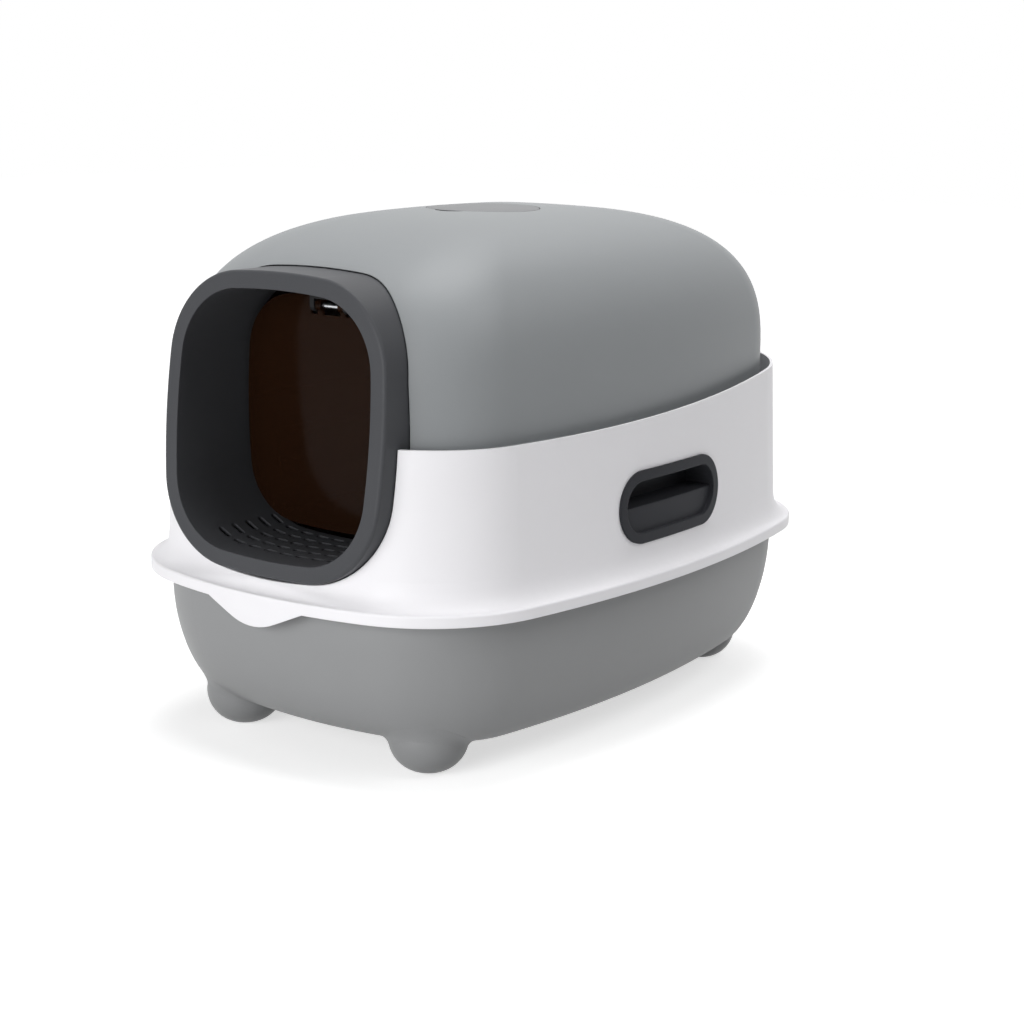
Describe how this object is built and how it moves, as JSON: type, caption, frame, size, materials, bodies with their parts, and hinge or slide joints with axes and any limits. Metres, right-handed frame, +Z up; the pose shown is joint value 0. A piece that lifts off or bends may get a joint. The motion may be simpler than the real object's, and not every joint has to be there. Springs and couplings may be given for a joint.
{
  "type": "hooded cat litter box",
  "caption": "Hooded cat litter box: a footed tray under a rear-hinged hood with a domed roof, an entry collar with a swinging see-through flap, side grips and a lift-out roof filter.",
  "frame": {"origin": "on the floor under the middle of the box", "axes": "+Z up, -Y out through the cat's entry, +X to the right for a person who looks at the rear from the front, along +Y"},
  "size_m": [0.39, 0.56, 0.3999],
  "materials": {
    "tray_grey": "satin moulded polypropylene",
    "skirt_white": "satin moulded polypropylene",
    "dome_grey": "satin moulded polypropylene",
    "collar_dark": "satin moulded polypropylene",
    "black_plastic": "satin",
    "flap_brown": "clear, tinted brown",
    "grip_dark": "satin",
    "cover_grey": "satin",
    "carbon_foam": "open charcoal felt",
    "steel": "plain"
  },
  "bodies": {
    "tray": {"base_tray": "tray_grey", "hinge_pin_left": "steel", "hinge_pin_right": "steel"},
    "hood": {"hood_skirt": "skirt_white", "hood_dome": "dome_grey", "entry_collar": "collar_dark", "flap_bracket": "black_plastic", "flap_pin": "steel", "handle_left": "grip_dark", "handle_right": "grip_dark", "hood_screws": "steel"},
    "flap": {"flap_panel": "flap_brown"},
    "basket": {"filter_basket": "black_plastic", "carbon_pad": "carbon_foam"},
    "cover": {"filter_cover": "cover_grey"}
  },
  "joints": [
    {"name": "hood_tilt", "type": "hinge", "parent": "tray", "child": "hood", "pos_m": [0, 0.271, 0.1213], "axis": [-1, 0, 0], "range_deg": [0, 65]},
    {"name": "flap_swing", "type": "hinge", "parent": "hood", "child": "flap", "pos_m": [0, -0.1904, 0.3363], "axis": [1, 0, 0], "range_deg": [-60, 80]},
    {"name": "basket_lift", "type": "slide", "parent": "hood", "child": "basket", "axis": [0, 0, 1], "range_m": [0, 0.06]},
    {"name": "cover_lift", "type": "slide", "parent": "basket", "child": "cover", "axis": [0, 0, 1], "range_m": [0, 0.05]}
  ]
}
